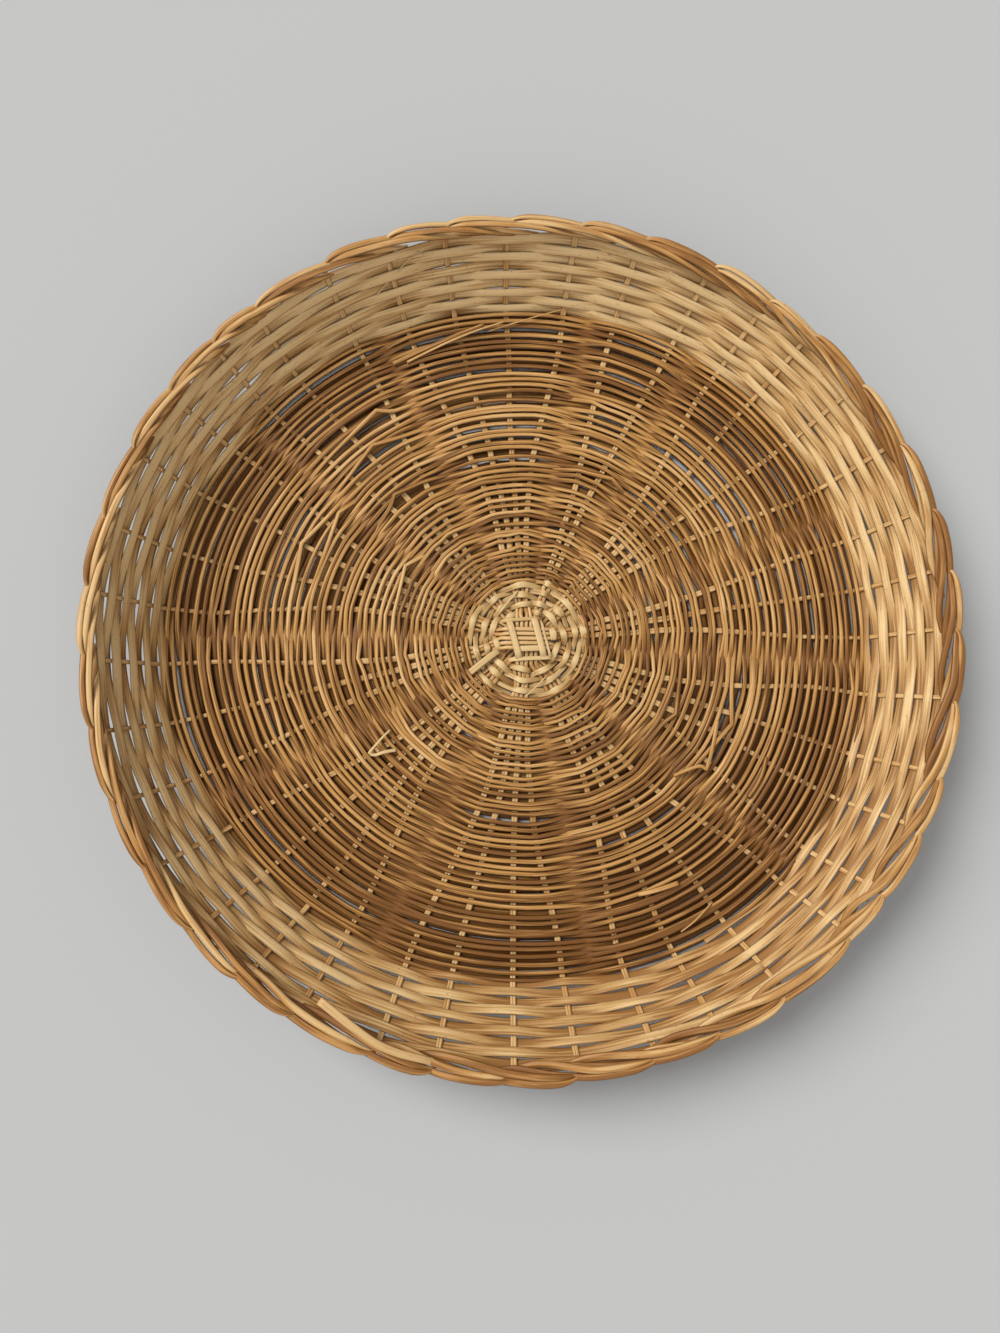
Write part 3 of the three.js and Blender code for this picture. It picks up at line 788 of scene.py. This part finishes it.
wide_chance = random.Random(53)
wide_reed = reed_material("wide_reed", (0.34, 0.155, 0.04), (0.60, 0.355, 0.135), (0.83, 0.585, 0.285),
                          streak=2.2, speck=0.6, bump=0.55, thickness=WIDE_THICKNESS, painted_shade=0.9)
wide_outline = reed_section("wide_outline", WIDE_WIDTH, WIDE_THICKNESS, 12)


def wide_level(count):
    """Rounds climbed at a stake: each round lies nearly level on the last and steps up at the end."""
    rounds, share = divmod(count / STAKE_ENDS, 1.0)
    stepped = eased((share - WIDE_STEP_START) / (1 - WIDE_STEP_START))
    return rounds + WIDE_CREEP * share + (1 - WIDE_CREEP) * stepped


for length in range(3):
    opening = STAKE_ENDS * WIDE_ROUNDS * length // 3
    closing = STAKE_ENDS * WIDE_ROUNDS * (length + 1) // 3
    # The first length starts with a cut end that lies on the floor's edge, just before a stake
    places = [(-0.45, 0.4)] if length == 0 else []
    places += [(count, 1 if count % 2 == 0 else -1) for count in range(opening, closing + 1)]
    route, sizes, leans = [], [], []
    tones = [wide_chance.uniform(0.45, 0.75)]
    for count, side in places:
        angle = rim_angle(count + WIDE_FIRST_STAKE)
        offset = WIDE_LIFT * side
        foot = foot_radius(angle)
        lean = math.atan2(WALL_RISE, rim_radius(angle) - foot)
        pitch = (WALL_RISE / math.sin(lean) - WIDE_START - WIDE_MARGIN) / WIDE_ROUNDS
        climbed = WIDE_START + pitch * wide_level(max(count, 0)) + wide_chance.gauss(0, WIDE_WANDER)
        radius = foot + climbed * math.cos(lean) - offset * math.sin(lean)
        height = STAKE_LEVEL + climbed * math.sin(lean) + offset * math.cos(lean)
        route.append(polar(radius, angle, height))
        leans.append(-lean)
        # The reeds are broader where the rounds lie further apart, and at the back
        back = max(0.0, math.sin(angle))
        broad = 0.4 + 0.6 * pitch / WIDE_USUAL_PITCH + 0.07 * back + wide_chance.gauss(0, 0.08)
        under_size = WIDE_UNDER_SIZE + 0.12 * back
        sizes.append(broad * (1.0 if side > 0 else under_size))
        tones.append(WIDE_TONE + 0.8 * (tones[-1] - WIDE_TONE) + wide_chance.gauss(0, 0.11))
    shaded = []
    for tone, (count, side) in zip(tones[1:], places):
        angle = rim_angle(count + WIDE_FIRST_STAKE)
        # A lift in tone all round, with painted light at the back and the left and painted shade at the front
        # and the right
        tone_lift_and_painted_light = 0.26 + 0.25 * math.sin(angle) - 0.12 * math.cos(angle)
        # A pass behind a stake takes painted shade
        shaded.append(tone + tone_lift_and_painted_light + (0.0 if side > 0 else WIDE_UNDER_PAINTED_SHADE))
    strand = {"route": route, "size": sizes, "tilt": leans, "tone": shaded}
    wall_reed = lay_reeds(f"wide_reed_{length + 1:02d}_rounds", wide_outline, [strand], "Z_UP", 8)
    finish_piece(wall_reed, wide_reed, "wide_reed", f"wide_reed_{length + 1:02d}")


# Loose ends
# Reeds have cracked and cane has split in use, so some ends stand out of the weave: a strip beside the
# crossing, a pale curl, a folded reed, split ends at the floor's edge and one border end that slipped
# out of its tuck.

# Each end: name, material, slot, outline, tone, sizes at both tips, corners in millimetres, sharp corners
LOOSE_ENDS = (
    ("centre_strip", pale_cane, "pale_cane", cane_outline, 0.7, 1.05, 1.05,
     ((-8.8, -3.8, 2.9), (-10.3, -4.9, 3.6), (-13.8, -7.7, 3.9), (-17.4, -10.6, 3.6)), ()),
    ("centre_fibre_01", pale_cane, "pale_cane", cane_outline, 0.9, 0.36, 0.3,
     ((-2.9, 14.9, 3.4), (-4.9, 12.4, 3.8), (-6.8, 10.1, 3.9), (-8.2, 8.3, 3.5)), ()),
    ("centre_fibre_02", pale_cane, "pale_cane", cane_outline, 0.9, 0.24, 0.2,
     ((5.8, -11.9, 3.5), (3.4, -14.3, 3.9), (1.2, -16.5, 3.8), (-0.4, -17.9, 3.4)), ()),
    ("pale_curl", pale_cane, "pale_cane", cane_outline, 1.0, 0.3, 0.55,
     ((-41.6, -28.3, 3.3), (-43.3, -30.0, 4.2), (-46.2, -33.4, 5.0), (-47.7, -35.2, 4.9), (-46.3, -35.9, 4.5),
      (-43.2, -35.0, 4.5), (-39.7, -34.3, 3.6)), (3,)),
    ("folded_reed", fine_reed, "fine_reed", fine_outline, 0.5, 0.8, 0.9,
     ((45.1, -42.0, 3.0), (49.2, -40.3, 4.0), (53.0, -39.2, 4.6), (54.9, -40.2, 4.5), (56.3, -36.3, 4.1),
      (57.8, -30.7, 3.6), (59.1, -25.0, 2.8)), (3,)),
    ("cracked_reed", fine_reed, "fine_reed", fine_outline, 0.2, 1.0, 1.1,
     ((74.1, -36.4, 2.8), (72.3, -41.4, 3.9), (70.2, -45.2, 4.1), (67.9, -48.5, 3.7)), ()),
    ("split_end_01", fine_reed, "fine_reed", fine_outline, 0.35, 1.0, 1.05,
     ((-42.2, 87.9, 3.2), (-32.5, 92.6, 3.8), (-22.9, 96.9, 4.4), (-13.5, 100.6, 5.0)), ()),
    ("split_end_02", fine_reed, "fine_reed", fine_outline, 0.8, 0.7, 0.4,
     ((-37.8, 88.5, 3.2), (-27.0, 93.9, 4.2), (-16.6, 98.3, 5.1), (-6.6, 101.8, 5.4)), ()),
    ("split_end_03", fine_reed, "fine_reed", fine_outline, 0.7, 0.4, 0.25,
     ((-11.9, 99.1, 3.9), (-3.8, 101.8, 4.3), (4.4, 104.4, 4.6), (12.5, 106.8, 4.8)), ()),
    ("split_end_04", fine_reed, "fine_reed", fine_outline, 0.5, 1.1, 1.1,
     ((33.6, -77.6, 3.0), (36.9, -76.8, 3.9), (41.2, -75.6, 4.2), (45.5, -74.2, 4.0)), ()),
    ("split_end_05", fine_reed, "fine_reed", fine_outline, 0.7, 0.3, 0.4,
     ((46.0, -88.5, 4.3), (49.3, -86.1, 4.6), (52.3, -83.4, 4.4), (55.5, -80.4, 3.6)), ()),
    ("wall_fibre", pale_cane, "pale_cane", cane_outline, 0.9, 0.2, 0.25,
     ((-33.5, 116.3, 20.2), (-37.6, 113.6, 18.4), (-42.2, 110.0, 15.4), (-46.9, 106.0, 12.4)), ()),
    ("border_end", stake_reed, "stake_reed", cane_outline, 1.0, 1.1, 1.3,
     ((-27.5, -119.4, 24.4), (-30.7, -118.3, 25.6), (-36.9, -116.4, 26.5), (-43.0, -113.7, 26.8),
      (-50.6, -108.4, 26.5), (-58.3, -102.7, 25.6)), ()),
)
for name, material, slot, outline, tone, first_size, last_size, corners, sharp in LOOSE_ENDS:
    route = [Vector(corner) * 0.001 for corner in corners]
    sizes = numpy.linspace(first_size, last_size, len(route))
    strand = {"route": route, "size": sizes, "tone": tone, "sharp": sharp}
    loose = lay_reeds(name, outline, [strand], "Z_UP", 6)
    loose.data.materials.clear()
    loose.data.materials.append(material)
    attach(loose, "root")

# All the reeds are drawn, so their outlines are taken away
for outline in (stake_outline, cane_outline, fine_outline, wide_outline):
    bpy.data.objects.remove(outline)


# Ground, light and camera
# A plain pale floor, a soft key light from the upper left, a fill from the front and an even sky.
# The camera has the photograph's high view.

ground_shape = bmesh.new()
bmesh.ops.create_grid(ground_shape, x_segments=1, y_segments=1, size=3.0)
ground_mesh = bpy.data.meshes.new("ground")
ground_shape.to_mesh(ground_mesh)
ground_shape.free()
ground = bpy.data.objects.new("ground", ground_mesh)
bpy.context.scene.collection.objects.link(ground)
ground_paint = bpy.data.materials.new("ground")
ground_paint.use_nodes = True
ground_paint.node_tree.nodes["Principled BSDF"].inputs["Base Color"].default_value = (0.52, 0.53, 0.535, 1.0)
ground_paint.node_tree.nodes["Principled BSDF"].inputs["Roughness"].default_value = 0.9
ground_mesh.materials.append(ground_paint)

# Each lamp: name, strength, width in degrees, direction of its light
LAMPS = (("key", 2.75, 34, (0.593, -0.385, -0.707)), ("fill", 0.7, 60, (0.0, 0.77, -0.64)))
for name, strength, width, direction in LAMPS:
    lamp_light = bpy.data.lights.new(name, "SUN")
    lamp_light.energy = strength
    lamp_light.angle = math.radians(width)
    lamp_light.color = (1.0, 0.985, 0.96)
    lamp = bpy.data.objects.new(name, lamp_light)
    lamp.rotation_euler = Vector(direction).to_track_quat("-Z", "Y").to_euler()
    bpy.context.scene.collection.objects.link(lamp)

sky = bpy.data.worlds.new("sky")
sky.use_nodes = True
sky.node_tree.nodes["Background"].inputs["Color"].default_value = (1.0, 0.985, 0.965, 1.0)
sky.node_tree.nodes["Background"].inputs["Strength"].default_value = 0.31
bpy.context.scene.world = sky

CAMERA_PLACE = Vector((-0.0225, -0.0435, 0.2992))
CAMERA_AIM = Vector((-0.0083, -0.0089, 0.005))
camera_lens = bpy.data.cameras.new("camera")
camera_lens.sensor_fit = "VERTICAL"
camera_lens.sensor_height = 36.0
camera_lens.lens = 26.2
camera_lens.clip_start = 0.01
camera = bpy.data.objects.new("camera", camera_lens)
camera.location = CAMERA_PLACE
back = (CAMERA_PLACE - CAMERA_AIM).normalized()
right = Vector((0, 1, 0)).cross(back).normalized()
camera.rotation_euler = Matrix((right, back.cross(right), back)).transposed().to_euler()
bpy.context.scene.collection.objects.link(camera)
bpy.context.scene.camera = camera
bpy.context.scene.view_settings.view_transform = "Standard"
